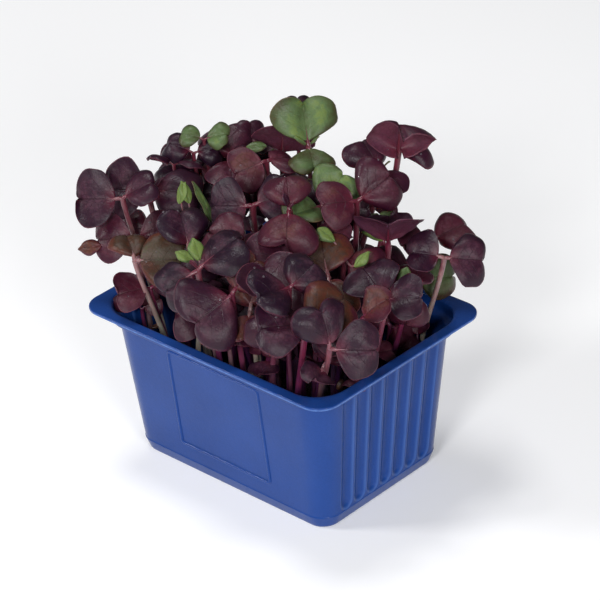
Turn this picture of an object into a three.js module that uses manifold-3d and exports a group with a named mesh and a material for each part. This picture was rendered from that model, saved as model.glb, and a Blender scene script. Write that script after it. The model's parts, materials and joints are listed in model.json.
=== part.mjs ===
// Radish microgreens in a blue moulded punnet. Millimetres, +Z up, origin under the middle of the base.
import * as THREE from 'three';
import * as BufferGeometryUtils from 'three/addons/utils/BufferGeometryUtils.js';
import Module from 'manifold-3d';

const wasm = await Module();
wasm.setup();

// Driving dimensions of the punnet: half lengths along X and Y, corner radius and height of each level.
const HEIGHT = 52.5;
const WALL = 0.8;
const FLANGE = { x: 50, y: 37.5, r: 7 };
const OPENING = { x: 46, y: 33.5, r: 11 };
const SHOULDER = { x: 43.4, y: 30.9, r: 8.4 };
const HEEL = { x: 39.1, y: 26.6, r: 6 };
const FOOT = { x: 37.6, y: 25.1, r: 4.5 };
const LIP_DEPTH = 1;
const COLLAR_DEPTH = 3.6;
const SHOULDER_DEPTH = 4.6;
const HEEL_HEIGHT = 4.5;
const FLUTES = { count: 7, depth: 0.9, share: 0.66 };
const PANEL = { halfWidth: 18.5, low: 10.4, high: 45.2, line: 0.9, relief: 0.35 };

// Driving dimensions of the growing mat, and of the clumps of seedlings that stand in its holes.
const MAT = { bottom: 1.2, top: 17, gap: 0.5 };
const HOLE_DEPTH = 6;
const CLUMPS = { columns: 8, rows: 7, reachX: 34, reachY: 22, jitter: 1.2, spread: 1.3 };
const SIBLING_FEET = [[-0.55, 0], [0.55, 0], [0, 0.8]];
const HOLE_RADII = [1.65, 2.25, 2.5];

// How the crop fills: rounds of heads, each with the depth under the canopy that they start from, how far out
// of the crop they stand, how near the outside a clump must be to take part, how many seedlings it may then
// hold, and the size of their leaves.
const ROUNDS = [
  { depth: 1, out: 1.3, border: 0, most: 1, size: 1 },
  { depth: 8, out: 1.3, border: 0, most: 1, size: 1 },
  { depth: 8, out: 1.5, border: 0.6, most: 2, size: 0.95 },
  { depth: 4, out: 1.35, border: 0, most: 2, size: 0.85 },
  { depth: 12, out: 1.4, border: 0, most: 2, size: 0.8 },
  { depth: 9, out: 1.3, border: 0, most: 3, size: 0.75 },
  { depth: 16, out: 1.35, border: 0, most: 3, size: 0.7 },
];
const LIGHT = { heading: -50, lean: 0.4 };
const TRIES = 350;
const LOWEST_HEAD = 64;
const STEEPEST = 82;
const STEM_RADIUS = 1;
const STEM_SHARES = [0.93, 0.5, 0];
const BLADE_THICKNESS = 0.8;

// Every leaf and stem keeps this much room to its neighbours above the height where the stems part.
const ROOM = { gap: 1.7, cell: 0.5, spacing: 1.2, partHeight: 30, reach: 72, top: 125 };

// The seedlings that shape the outline and the front of the crop. Each has the place of its stem top in
// millimetres, and the heading, rise and roll in degrees and the width in millimetres of its two leaves.
const LEADERS = [
  { name: 'left_tip', top: [-49, -17, 84], leaves: [[216, 0, -50, 18], [50, 30, 20, 14]] },
  { name: 'left_upper', top: [-48, -7, 81], leaves: [[222, 12, -50, 18], [35, 5, 40, 18]] },
  { name: 'left_low', top: [-42, -19, 74], leaves: [[225, -5, -45, 15], [45, 10, 45, 15]] },
  { name: 'left_bronze', top: [-32, -30, 73], leaves: [[42, 5, 50, 18], [150, 30, 0, 13]] },
  { name: 'front_left', top: [6, -26, 72], leaves: [[255, -15, -35, 23], [80, 40, 20, 17]] },
  { name: 'front_wine', top: [-2, -12, 77], leaves: [[190, 20, -45, 17], [20, 15, 35, 14]] },
  { name: 'middle', top: [16, -12, 74], leaves: [[165, 40, -20, 21], [345, -10, 30, 14]] },
  { name: 'front_middle', top: [24, -4, 74], leaves: [[134, 50, 0, 18], [314, -30, 0, 17]] },
  { name: 'front_right', top: [42, -1, 71], leaves: [[165, 35, -20, 18], [20, 20, 35, 15]] },
  { name: 'front_corner', top: [48, -8, 66], leaves: [[235, -5, -45, 19], [45, 25, 45, 15]] },
  { name: 'right_low', top: [48, 5, 70], leaves: [[300, -40, 10, 15], [110, 40, 0, 13]] },
  { name: 'right_upright', top: [28, 19, 77], leaves: [[314, 60, 0, 19], [134, 30, 0, 15]] },
  { name: 'star', top: [18, 18, 87], leaves: [[60, 20, 40, 17], [250, 10, -40, 15]] },
  { name: 'right_fold', top: [34, 29, 77], leaves: [[60, 35, 30, 17], [235, 20, -35, 15]] },
  { name: 'right_end', top: [43, 25, 76], leaves: [[42, -5, 45, 17], [225, 10, -35, 14]] },
  { name: 'top_right', top: [17, 40, 95], leaves: [[314, 72, 0, 20], [60, 0, 10, 13]] },
  { name: 'top_back', top: [17, 30, 93], leaves: [[150, 30, 0, 15], [330, -10, 0, 13]] },
  { name: 'top_green', top: [-12, 29, 92], leaves: [[140, 45, -5, 20], [320, -5, 0, 13]] },
  { name: 'top_middle', top: [-25, 29, 87], leaves: [[314, 68, 0, 20], [134, 10, -20, 15]] },
  { name: 'top_left', top: [-36, 18, 85], leaves: [[134, 45, 0, 17], [314, -15, 0, 15]] },
  { name: 'upper_satin', top: [-33, 18, 84], leaves: [[200, 15, -45, 15], [20, 15, 35, 13]] },
  { name: 'upper_left', top: [-39, 6, 79], leaves: [[160, 35, -15, 16], [340, 0, 0, 14]] },
  { name: 'upper_tip', top: [-41, 12, 85], leaves: [[200, 25, -40, 16], [20, 0, 40, 16]] },
  { name: 'upper_green', top: [-40, 15, 88], leaves: [[170, 30, -60, 14], [350, -10, 0, 14]] },
  { name: 'middle_left', top: [-11, 1, 84], leaves: [[222, 5, -55, 16], [42, 20, 35, 15]] },
  { name: 'left_gloss', top: [-18, -17, 75], leaves: [[150, 40, -10, 16], [330, -20, 0, 13]] },
  { name: 'wine_wide', top: [6, 3, 87], leaves: [[314, -15, 0, 19], [134, 35, 0, 15]] },
  { name: 'ridge', top: [9, 16, 85], leaves: [[200, 20, -40, 17], [20, 15, 30, 15]] },
  { name: 'middle_right', top: [24, 5, 82], leaves: [[170, 30, -20, 17], [350, 0, 20, 15]] },
  { name: 'right_green', top: [11, 25, 82], leaves: [[134, 50, 0, 15], [314, -10, 0, 13]] },
  { name: 'left_wavy', top: [-19, 23, 88], leaves: [[222, 0, -30, 16], [42, 0, 30, 15]] },
  { name: 'front_orange', top: [9, -23, 68], leaves: [[134, 55, 0, 15], [314, -20, 0, 13]] },
];

const CORNER_STEPS = 3;
const mix = THREE.MathUtils.lerp;
const radians = THREE.MathUtils.degToRad;
const degrees = THREE.MathUtils.radToDeg;

// Seeded draws: a Lehmer generator, so that the same tray grows every time.
let seed = 20260;
function draw(low = 0, high = 1) {
  seed = (seed * 16807) % 2147483647;
  return low + ((high - low) * seed) / 2147483647;
}

// A closed body through rings of equal length, each a list of points, closed by a fan at both ends.
function loft(rings) {
  const count = rings[0].length;
  const positions = rings.flat().flatMap((p) => [p.x, p.y, p.z]);
  const index = [];
  for (let level = 0; level + 1 < rings.length; level += 1) {
    for (let i = 0; i < count; i += 1) {
      const a = level * count + i;
      const b = level * count + ((i + 1) % count);
      index.push(a, b, b + count, a, b + count, a + count);
    }
  }
  for (const last of [false, true]) {
    const ring = last ? rings.at(-1) : rings[0];
    const start = last ? (rings.length - 1) * count : 0;
    const middle = ring.reduce((sum, p) => sum.add(p), new THREE.Vector3()).divideScalar(count);
    const centre = positions.length / 3;
    positions.push(middle.x, middle.y, middle.z);
    for (let i = 0; i < count; i += 1) {
      const a = start + i;
      const b = start + ((i + 1) % count);
      index.push(...(last ? [a, b, centre] : [b, a, centre]));
    }
  }
  const geometry = new THREE.BufferGeometry();
  geometry.setAttribute('position', new THREE.Float32BufferAttribute(positions, 3));
  geometry.setIndex(index);
  return geometry;
}

function toSolid(source) {
  const bare = source.clone();
  bare.deleteAttribute('normal');
  bare.deleteAttribute('uv');
  const merged = BufferGeometryUtils.mergeVertices(bare);
  const mesh = new wasm.Mesh({
    numProp: 3,
    vertProperties: new Float32Array(merged.attributes.position.array),
    triVerts: new Uint32Array(merged.index.array),
  });
  return new wasm.Manifold(mesh);
}

function toGeometry(solid) {
  const mesh = solid.getMesh();
  const geometry = new THREE.BufferGeometry();
  geometry.setAttribute('position', new THREE.BufferAttribute(mesh.vertProperties, 3));
  geometry.setIndex(new THREE.BufferAttribute(mesh.triVerts, 1));
  geometry.computeVertexNormals();
  return geometry;
}

// One level of the punnet: a rounded rectangle whose two short sides carry the upright flutes.
// A grown level is larger by that much all round, and fluteDepth sets how far the flutes sink in.
function level(size, z, grown = 0, fluteDepth = 0, flutes = FLUTES.count) {
  const [x, y, r] = [size.x + grown, size.y + grown, size.r + grown];
  const points = [];
  const straight = y - r;
  for (const side of [1, -1]) {
    for (let flute = 0; flute < flutes; flute += 1) {
      const centre = mix(-straight, straight, (flute + 0.5) / flutes);
      const half = (straight * FLUTES.share) / flutes;
      for (const [along, sink] of [[-1, 0], [-0.45, 1], [0.45, 1], [1, 0]]) {
        points.push(new THREE.Vector3(side * (x - sink * fluteDepth), side * (centre + along * half), z));
      }
    }
    for (const corner of [0, 1]) {
      const centre = new THREE.Vector2(side * (corner ? -(x - r) : x - r), side * straight);
      for (let step = 0; step <= CORNER_STEPS; step += 1) {
        const turn = ((side > 0 ? 0 : 2) + corner + step / CORNER_STEPS) * (Math.PI / 2);
        points.push(new THREE.Vector3(centre.x + r * Math.cos(turn), centre.y + r * Math.sin(turn), z));
      }
    }
  }
  return points;
}

// The wall between its heel and the shoulder: the level at height z.
function wallAt(z) {
  const share = (z - HEEL_HEIGHT) / (HEIGHT - SHOULDER_DEPTH - HEEL_HEIGHT);
  const between = (key) => mix(HEEL[key], SHOULDER[key], share);
  return { x: between('x'), y: between('y'), r: between('r') };
}

// One thin moulded shell, from under the base, up the outside, over the flange and down the inside.
function makePunnet() {
  const shell = toSolid(loft([
    level(FOOT, 0, WALL),
    level(HEEL, HEEL_HEIGHT, WALL, FLUTES.depth),
    level(SHOULDER, HEIGHT - SHOULDER_DEPTH - WALL, WALL, FLUTES.depth),
    level(OPENING, HEIGHT - COLLAR_DEPTH - WALL, WALL),
    level(OPENING, HEIGHT - LIP_DEPTH, WALL),
    level(FLANGE, HEIGHT - LIP_DEPTH),
    level(FLANGE, HEIGHT),
    level(OPENING, HEIGHT),
    level(OPENING, HEIGHT - COLLAR_DEPTH),
    level(SHOULDER, HEIGHT - SHOULDER_DEPTH, 0, FLUTES.depth),
    level(HEEL, HEEL_HEIGHT, 0, FLUTES.depth),
    level(FOOT, WALL),
  ]));
  return toGeometry(shell.add(toSolid(makePanelFrame())));
}

// The raised line that frames the plain panel on the front wall, laid along the wall's slope.
function makePanelFrame() {
  const { halfWidth, low, high, line, relief } = PANEL;
  const middle = (low + high) / 2;
  const outline = (grown) => {
    const [x, z] = [halfWidth + grown, (high - low) / 2 + grown];
    return [[-x, -z], [x, -z], [x, z], [-x, z]].map((corner) => new THREE.Vector2(...corner));
  };
  const shape = new THREE.Shape(outline(line / 2));
  shape.holes.push(new THREE.Path(outline(-line / 2)));
  const frame = new THREE.ExtrudeGeometry(shape, { depth: relief * 2, bevelEnabled: false });
  frame.translate(0, 0, -relief);
  frame.rotateX(Math.PI / 2 + Math.atan2(wallAt(high).y - wallAt(low).y, high - low));
  frame.translate(0, -(wallAt(middle).y + WALL), middle);
  return frame;
}

// The growing mat fills the bottom of the punnet, clear of its flutes, with a plain hole for each clump.
function makeMat(clumps) {
  const inset = -FLUTES.depth - MAT.gap;
  const block = toSolid(loft([
    level(FOOT, MAT.bottom, inset, 0, 0),
    level(HEEL, HEEL_HEIGHT, inset, 0, 0),
    level(wallAt(MAT.top), MAT.top, inset, 0, 0),
  ]));
  const holes = clumps.map((clump) => {
    const radius = HOLE_RADII[clump.seedlings.length - 1];
    const hole = new THREE.CylinderGeometry(radius, radius, HOLE_DEPTH * 2, 6);
    hole.rotateX(Math.PI / 2);
    const shift = clump.seedlings.length > 1 ? 0 : SIBLING_FEET[0][0];
    hole.translate(clump.foot.x + shift, clump.foot.y, MAT.top);
    return toSolid(hole);
  });
  return toGeometry(holes.reduce((body, hole) => body.subtract(hole), block));
}

// How high the heads of the crop stand at a place in plan: a low dome, taller at the back.
function canopy(x, y) {
  return 85 - 0.03 * x + 0.17 * y - 6 * (x / 50) ** 2 - 8 * (y / 38) ** 2;
}

// The edge of one half of a seed leaf: share of its length from the petiole, share of its half width.
const LEAF_EDGE = [[0, 0.14], [0.13, 0.68], [0.5, 1], [0.87, 0.9], [1, 0.48]];
const LEAF_NOTCH = [0.84, 0];
const LEAF_MIDDLE = [0.45, 0];

// A seed leaf's own axes: along its midrib, across it and up from its face.
function leafAxes(heading, pitch, roll) {
  const along = new THREE.Vector3(
    Math.cos(heading) * Math.cos(pitch), Math.sin(heading) * Math.cos(pitch), Math.sin(pitch));
  const flat = new THREE.Vector3(-Math.sin(heading), Math.cos(heading), 0);
  const upright = new THREE.Vector3().crossVectors(along, flat);
  const across = flat.clone().multiplyScalar(Math.cos(roll)).addScaledVector(upright, Math.sin(roll));
  const face = upright.clone().multiplyScalar(Math.cos(roll)).addScaledVector(flat, -Math.sin(roll));
  return { along, across, face };
}

// A point of a seed leaf's middle surface, from its shares of length and half width.
function leafPoint(leaf, lengthShare, widthShare) {
  const half = leaf.width / 2;
  const rise = leaf.fold * half * Math.abs(widthShare) - leaf.cup * half * widthShare ** 2
    - leaf.droop * leaf.length * lengthShare ** 2;
  return leaf.base.clone()
    .addScaledVector(leaf.axes.along, leaf.length * lengthShare)
    .addScaledVector(leaf.axes.across, half * widthShare)
    .addScaledVector(leaf.axes.face, rise);
}

// Plans a head over a clump: its leaves opposite each other, and the head leaning outwards and to the light.
function planHead(clump, { depth, out, size }) {
  const x = clump.foot.x * out;
  const y = clump.foot.y * out;
  const z = Math.max(canopy(x, y) - depth + draw(-3, 3), LOWEST_HEAD);
  const heading = draw(0, 360);
  const light = new THREE.Vector2(LIGHT.lean, 0).rotateAround(new THREE.Vector2(), radians(LIGHT.heading));
  const tilt = new THREE.Vector2(x / 50, y / 38).multiplyScalar(draw(0.2, 0.7)).add(light);
  const lean = Math.min(0.9, tilt.length());
  const leaves = [0, 180].map((side) => {
    const turn = radians(heading + side + draw(-20, 20));
    const rise = draw(0, 45) - degrees(lean * Math.cos(turn - tilt.angle()));
    const roll = draw(-20, 20) + degrees(lean * Math.sin(turn - tilt.angle()));
    return [degrees(turn), rise, roll, draw(16, 22) * size];
  });
  return { top: [x, y, z], leaves };
}

// One try at a seedling: its plan, moved and turned a little more with every try.
function trySeedling(plan, share) {
  const shift = 1 + 9 * share;
  const turn = 5 + 35 * share;
  const [x, y, z] = plan.top;
  const top = new THREE.Vector3(
    x + draw(-shift, shift), y + draw(-shift, shift), z + draw(-1.6 * shift, shift / 2));
  const swing = draw(-turn, turn);
  const leaves = plan.leaves.map(([heading, rise, roll, width]) => {
    const axes = leafAxes(
      radians(heading + swing + draw(-6, 6)), radians(Math.min(rise + draw(-turn, turn), STEEPEST)),
      radians(roll + draw(-turn, turn)));
    const petiole = draw(1.2, 2.4);
    const base = top.clone().addScaledVector(axes.along, petiole).addScaledVector(axes.face, petiole * 0.3);
    const size = width * (1 - 0.2 * share);
    return {
      axes, base, width: size, length: size * draw(0.62, 0.74),
      fold: draw(0, 0.45), cup: draw(0.1, 0.45), droop: draw(0, 0.25),
    };
  });
  return { foot: plan.foot, top, leaves };
}

// The centres of a stem's sections, from its top down: a curve that leans over from the mat to the
// head, and a straight root in the hole.
function stemCentres(seedling) {
  const { foot, top } = seedling;
  const neck = new THREE.Vector3(foot.x, foot.y, MAT.top + 1);
  const rise = top.z - neck.z;
  const curve = new THREE.CubicBezierCurve3(
    neck,
    new THREE.Vector3(foot.x, foot.y, neck.z + rise * 0.45),
    new THREE.Vector3(mix(foot.x, top.x, 0.8), mix(foot.y, top.y, 0.8), top.z - rise * 0.25),
    top,
  );
  return [...STEM_SHARES.map((share) => curve.getPoint(share)), foot];
}

// The spots of a seedling that need room: a close fan over each leaf, and rings of four up its stem.
function spotsOf(seedling) {
  const [spots, stemSpots] = [[], []];
  for (const leaf of seedling.leaves) {
    const rim = leafRim(leaf);
    const middle = leafPoint(leaf, ...LEAF_MIDDLE);
    rim.forEach((corner, i) => {
      const next = rim[(i + 1) % rim.length];
      const steps = Math.ceil(corner.distanceTo(next) / ROOM.spacing);
      for (let step = 0; step < steps; step += 1) {
        const edge = corner.clone().lerp(next, step / steps);
        const rings = Math.ceil(edge.distanceTo(middle) / ROOM.spacing);
        for (let ring = 1; ring <= rings; ring += 1) spots.push(middle.clone().lerp(edge, ring / rings));
      }
    });
    for (const share of [0.25, 0.5, 0.75]) spots.push(seedling.top.clone().lerp(leaf.base, share));
  }
  const path = new THREE.CurvePath();
  const centres = [seedling.top, ...stemCentres(seedling)];
  centres.slice(1).forEach((centre, i) => path.add(new THREE.LineCurve3(centres[i], centre)));
  const steps = Math.ceil(path.getLength() / ROOM.spacing);
  for (let step = 0; step <= steps; step += 1) {
    const spot = path.getPoint(step / steps);
    if (spot.z < ROOM.partHeight) break;
    for (const [x, y] of [[0.7, 0], [0, 0.7], [-0.7, 0], [0, -0.7]]) {
      stemSpots.push(new THREE.Vector3(spot.x + x * STEM_RADIUS, spot.y + y * STEM_RADIUS, spot.z));
    }
  }
  return { leaves: spots, stem: stemSpots };
}

// The rim of a seed leaf: out along one edge, round its notch and back along the other edge.
function leafRim(leaf) {
  const edge = (side) => LEAF_EDGE.map(([l, w]) => leafPoint(leaf, l, w * side));
  return [...edge(-1), leafPoint(leaf, ...LEAF_NOTCH), ...edge(1).reverse()];
}

// The room over the punnet as a grid of small cells. A cell near a stem holds the number of the stem's clump,
// whose own seedlings may still grow through it, and a cell near a leaf is closed to all.
const wide = Math.ceil((2 * ROOM.reach) / ROOM.cell);
const high = Math.ceil((ROOM.top - ROOM.partHeight) / ROOM.cell);
const taken = new Uint8Array(wide * wide * high);
const CLOSED = 255;
const cellOf = (spot) => [
  Math.floor((spot.x + ROOM.reach) / ROOM.cell),
  Math.floor((spot.y + ROOM.reach) / ROOM.cell),
  Math.floor((spot.z - ROOM.partHeight) / ROOM.cell),
];
const indexOf = (x, y, z) => (x * wide + y) * high + z;

function claimRoom(spots, owner) {
  const reach = Math.ceil(ROOM.gap / ROOM.cell);
  for (const spot of spots) {
    const [x, y, z] = cellOf(spot);
    for (let i = -reach; i <= reach; i += 1) {
      for (let j = -reach; j <= reach; j += 1) {
        for (let k = -reach; k <= reach; k += 1) {
          if (Math.hypot(i, j, k) > ROOM.gap / ROOM.cell) continue;
          const index = indexOf(x + i, y + j, z + k);
          taken[index] = taken[index] === 0 || taken[index] === owner ? owner : CLOSED;
        }
      }
    }
  }
}

function hasRoom(spots, owner) {
  return spots.every((spot) => {
    const holder = taken[indexOf(...cellOf(spot))];
    return holder === 0 || holder === owner;
  });
}

// Below the flange a stem stays inside the wall, and a leaf is either over the rim or well inside it.
function clearsPunnet(spots) {
  return spots.every((spot) => {
    if (spot.z > HEIGHT + 2) return true;
    const x = Math.max(Math.abs(spot.x) - (SHOULDER.x - SHOULDER.r), 0);
    const y = Math.max(Math.abs(spot.y) - (SHOULDER.y - SHOULDER.r), 0);
    return Math.hypot(x, y) < SHOULDER.r - 3;
  });
}

// Grows one more seedling in a clump, beside those that it has, if a try at its plan finds room.
function growIn(clump, plan) {
  const [besideX, besideY] = SIBLING_FEET[clump.seedlings.length];
  const foot = new THREE.Vector3(clump.foot.x + besideX, clump.foot.y + besideY, clump.foot.z);
  for (let attempt = 0; attempt < TRIES; attempt += 1) {
    const seedling = trySeedling({ ...plan, foot }, attempt / TRIES);
    const { leaves, stem } = spotsOf(seedling);
    const spots = [...leaves, ...stem];
    if (clearsPunnet(spots) && hasRoom(spots, clump.number)) {
      claimRoom(stem, clump.number);
      claimRoom(leaves, CLOSED);
      clump.seedlings.push(seedling);
      return;
    }
  }
}

// The crop: clumps of one to three seedlings on a jittered grid, the leaders first.
function growCrop() {
  const clumps = [];
  for (let column = 0; column < CLUMPS.columns; column += 1) {
    for (let row = 0; row < CLUMPS.rows; row += 1) {
      const { reachX, reachY, jitter } = CLUMPS;
      const x = mix(-reachX, reachX, column / (CLUMPS.columns - 1)) + draw(-jitter, jitter);
      const y = mix(-reachY, reachY, row / (CLUMPS.rows - 1)) + draw(-jitter, jitter);
      const foot = new THREE.Vector3(x, y, MAT.top - HOLE_DEPTH + 0.4);
      clumps.push({ number: clumps.length + 1, foot, seedlings: [] });
    }
  }
  for (const leader of LEADERS) {
    const [x, y] = leader.top;
    const away = ({ foot }) => Math.hypot(x - foot.x * CLUMPS.spread, y - foot.y * CLUMPS.spread);
    const open = clumps.filter((clump) => clump.seedlings.length < 1);
    growIn(open.reduce((best, other) => (away(other) < away(best) ? other : best)), leader);
  }
  for (const round of ROUNDS) {
    for (const clump of clumps) {
      const { x, y } = clump.foot;
      const outside = Math.max(Math.abs(x) / CLUMPS.reachX, Math.abs(y) / CLUMPS.reachY);
      const open = clump.seedlings.length < round.most && outside >= round.border;
      if (open) growIn(clump, planHead(clump, round));
    }
  }
  return clumps.filter((clump) => clump.seedlings.length > 0);
}

// The rim of the blade that a seedling's two leaves and their petioles make, anticlockwise from above,
// with the direction of its thickness at each point.
function bladeRim(seedling) {
  const up = seedling.leaves[0].axes.face.clone().add(seedling.leaves[1].axes.face).normalize();
  return seedling.leaves.flatMap((leaf) => {
    const { along, across, face } = leaf.axes;
    const joint = (side) => ({
      at: seedling.top.clone().addScaledVector(along, 0.75).addScaledVector(across, 0.75 * side),
      normal: up,
    });
    return [joint(-1), ...leafRim(leaf).map((at) => ({ at, normal: face })), joint(1)];
  });
}

// One seedling as a closed body: the blade of its two leaves, and the stem under the blade's middle.
function makeSeedling(seedling) {
  const rim = bladeRim(seedling);
  const middles = seedling.leaves.map((leaf) => (
    { at: leafPoint(leaf, ...LEAF_MIDDLE), normal: leaf.axes.face }));
  const blade = [...rim, ...middles];
  const count = blade.length;
  const points = [1, -1].flatMap((side) => blade.map(({ at, normal }) => (
    at.clone().addScaledVector(normal, (side * BLADE_THICKNESS) / 2))));
  const index = [];
  const addFace = (a, b, c) => index.push(a, b, c, a + count, c + count, b + count);
  const half = rim.length / 2;
  for (const side of [0, 1]) {
    const first = side * half + 1;
    const last = first + half - 3;
    for (let i = first; i < last; i += 1) addFace(i, i + 1, rim.length + side);
    addFace(last, first, rim.length + side);
    addFace(first - 1, first, last);
    addFace(first - 1, last, last + 1);
  }
  for (let i = 0; i < rim.length; i += 1) {
    const next = (i + 1) % rim.length;
    index.push(i, i + count, next + count, i, next + count, next);
  }

  // The blade's four inner corners: over the stem they are a face, and under it they are the stem's top ring.
  const corners = [half - 1, half, rim.length - 1, 0];
  index.push(corners[0], corners[1], corners[2], corners[0], corners[2], corners[3]);
  const heading = Math.atan2(seedling.leaves[0].axes.along.y, seedling.leaves[0].axes.along.x);
  let ring = corners.map((corner) => corner + count);
  for (const centre of stemCentres(seedling)) {
    const start = points.length;
    for (let i = 0; i < 4; i += 1) {
      const turn = heading + ((i + 0.5) * Math.PI) / 2;
      points.push(new THREE.Vector3(
        centre.x + STEM_RADIUS * Math.cos(turn), centre.y + STEM_RADIUS * Math.sin(turn), centre.z));
    }
    const next = [0, 1, 2, 3].map((i) => start + i);
    for (let i = 0; i < 4; i += 1) {
      const j = (i + 1) % 4;
      index.push(ring[i], next[i], next[j], ring[i], next[j], ring[j]);
    }
    ring = next;
  }
  index.push(ring[0], ring[2], ring[1], ring[0], ring[3], ring[2]);

  const positions = points.flatMap((p) => [p.x, p.y, p.z]);
  const geometry = new THREE.BufferGeometry();
  geometry.setAttribute('position', new THREE.Float32BufferAttribute(positions, 3));
  geometry.setIndex(index);
  return geometry;
}

// The seedlings of a clump are fused where their stems stand together in the hole.
function makeClump(clump) {
  const bodies = clump.seedlings.map((seedling) => toSolid(makeSeedling(seedling)));
  return toGeometry(bodies.reduce((all, body) => all.add(body)));
}

const plastic = new THREE.MeshStandardMaterial({ color: 0x2b4a94, roughness: 0.35, metalness: 0 });
const soil = new THREE.MeshStandardMaterial({ color: 0x2a1a14, roughness: 0.95, metalness: 0 });
const plum = new THREE.MeshStandardMaterial({ color: 0x4a2036, roughness: 0.5, metalness: 0 });

function addPiece(group, name, geometry, material) {
  const mesh = new THREE.Mesh(geometry, material);
  mesh.name = name;
  group.add(mesh);
}

const tray = new THREE.Group();
const clumps = growCrop();
addPiece(tray, 'punnet', makePunnet(), plastic);
addPiece(tray, 'growing_mat', makeMat(clumps), soil);
clumps.forEach((clump, i) => {
  addPiece(tray, `seedlings_${String(i + 1).padStart(2, '0')}`, makeClump(clump), plum);
});

export default tray;
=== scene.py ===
import json
import math

import bmesh
import bpy
import numpy as np
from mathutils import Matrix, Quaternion, Vector
from mathutils.kdtree import KDTree

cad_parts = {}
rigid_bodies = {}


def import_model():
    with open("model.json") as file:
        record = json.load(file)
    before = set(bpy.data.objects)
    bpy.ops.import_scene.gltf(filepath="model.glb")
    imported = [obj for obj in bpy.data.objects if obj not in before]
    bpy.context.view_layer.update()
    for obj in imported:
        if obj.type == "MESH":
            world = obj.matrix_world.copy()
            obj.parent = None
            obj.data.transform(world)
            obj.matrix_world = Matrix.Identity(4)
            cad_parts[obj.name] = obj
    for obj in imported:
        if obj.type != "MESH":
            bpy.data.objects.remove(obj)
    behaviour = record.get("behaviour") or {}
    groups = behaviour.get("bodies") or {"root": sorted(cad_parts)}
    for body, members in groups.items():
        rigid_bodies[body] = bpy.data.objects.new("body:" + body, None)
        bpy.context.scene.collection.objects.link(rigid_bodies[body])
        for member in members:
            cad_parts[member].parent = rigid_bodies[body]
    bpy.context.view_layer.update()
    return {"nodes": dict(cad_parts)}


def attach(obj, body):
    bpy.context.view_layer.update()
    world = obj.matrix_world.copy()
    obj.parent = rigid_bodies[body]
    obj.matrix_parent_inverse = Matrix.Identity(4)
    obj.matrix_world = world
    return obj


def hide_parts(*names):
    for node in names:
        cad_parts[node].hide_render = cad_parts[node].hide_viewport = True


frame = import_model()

MM = 0.001
scene = bpy.context.scene
collection = scene.collection

# Camera. A long lens looks down on the punnet's front corner, between its smooth wall and its fluted
# wall, and it is held a little askew.
LENS, DISTANCE = 179.58, 0.9061
AZIMUTH, ELEVATION, ROLL = (math.radians(angle) for angle in (43.592, 30.311, -2.839))
LOOKS_AT = Vector((0.00797, 0.0, 0.05805))


def in_scene(name, data):
    """An object of a camera, a lamp or a mesh."""
    made = bpy.data.objects.new(name, data)
    collection.objects.link(made)
    return made


back = Vector((math.sin(AZIMUTH) * math.cos(ELEVATION), -math.cos(AZIMUTH) * math.cos(ELEVATION),
               math.sin(ELEVATION)))
camera = in_scene("camera", bpy.data.cameras.new("camera"))
camera.data.lens = LENS
camera.data.clip_start, camera.data.clip_end = 0.05, 20
camera.location = LOOKS_AT + back * DISTANCE
camera.rotation_mode = "QUATERNION"
camera.rotation_quaternion = back.to_track_quat("Z", "Y") @ Quaternion((0, 0, 1), ROLL)
scene.camera = camera

# Floor and light. A plain pale floor under four soft round boxes: the strongest a little to the left of
# the camera, the others far left, right and above. The room is dim, so flat tops reflect little.
FLOOR_HALF = 4000
PAPER = {"Base Color": (0.86, 0.86, 0.87, 1), "Roughness": 0.9, "Emission Color": (1, 1, 1, 1),
         "Emission Strength": 0.2}
BOXES = (("key_box", (0.5, -1.12, 0.8), 0.36, 9.5), ("left_box", (-0.85, -0.9, 0.8), 0.36, 8),
         ("right_box", (1.1, -0.55, 0.5), 0.4, 7.5), ("top_box", (-0.35, 0.1, 1.4), 0.4, 6.5))
LIT_SPOT = Vector((0, 0, 0.06))
ROOM = {"Color": (0.93, 0.96, 1.0, 1), "Strength": 0.11}


def add_piece(name, points, faces=(), edges=(), material=None):
    """A smooth object from points in millimetres."""
    mesh = bpy.data.meshes.new(name)
    mesh.from_pydata((np.asarray(points, float) * MM).tolist(), edges, faces)
    mesh.shade_smooth()
    if material:
        mesh.materials.append(material)
    return in_scene(name, mesh)


def plate(name, half_x, half_y, z):
    """A flat rectangle about the Z axis."""
    corners = [(x * half_x, y * half_y, z) for x, y in ((-1, -1), (1, -1), (1, 1), (-1, 1))]
    return add_piece(name, corners, [(0, 1, 2, 3)])


scene.view_settings.view_transform = "Standard"
floor = plate("floor", FLOOR_HALF, FLOOR_HALF, 0)
paper = bpy.data.materials.new("pale_floor")
paper.use_nodes = True
for socket, value in PAPER.items():
    paper.node_tree.nodes["Principled BSDF"].inputs[socket].default_value = value
floor.data.materials.append(paper)

for name, place, size, power in BOXES:
    lamp = bpy.data.lights.new(name, "AREA")
    lamp.shape, lamp.size, lamp.energy = "DISK", size, power
    box = in_scene(name, lamp)
    box.location = place
    box.rotation_mode = "QUATERNION"
    box.rotation_quaternion = (Vector(place) - LIT_SPOT).to_track_quat("Z", "Y")

world = bpy.data.worlds.new("studio")
world.use_nodes = True
for socket, value in ROOM.items():
    world.node_tree.nodes["Background"].inputs[socket].default_value = value
scene.world = world

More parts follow.
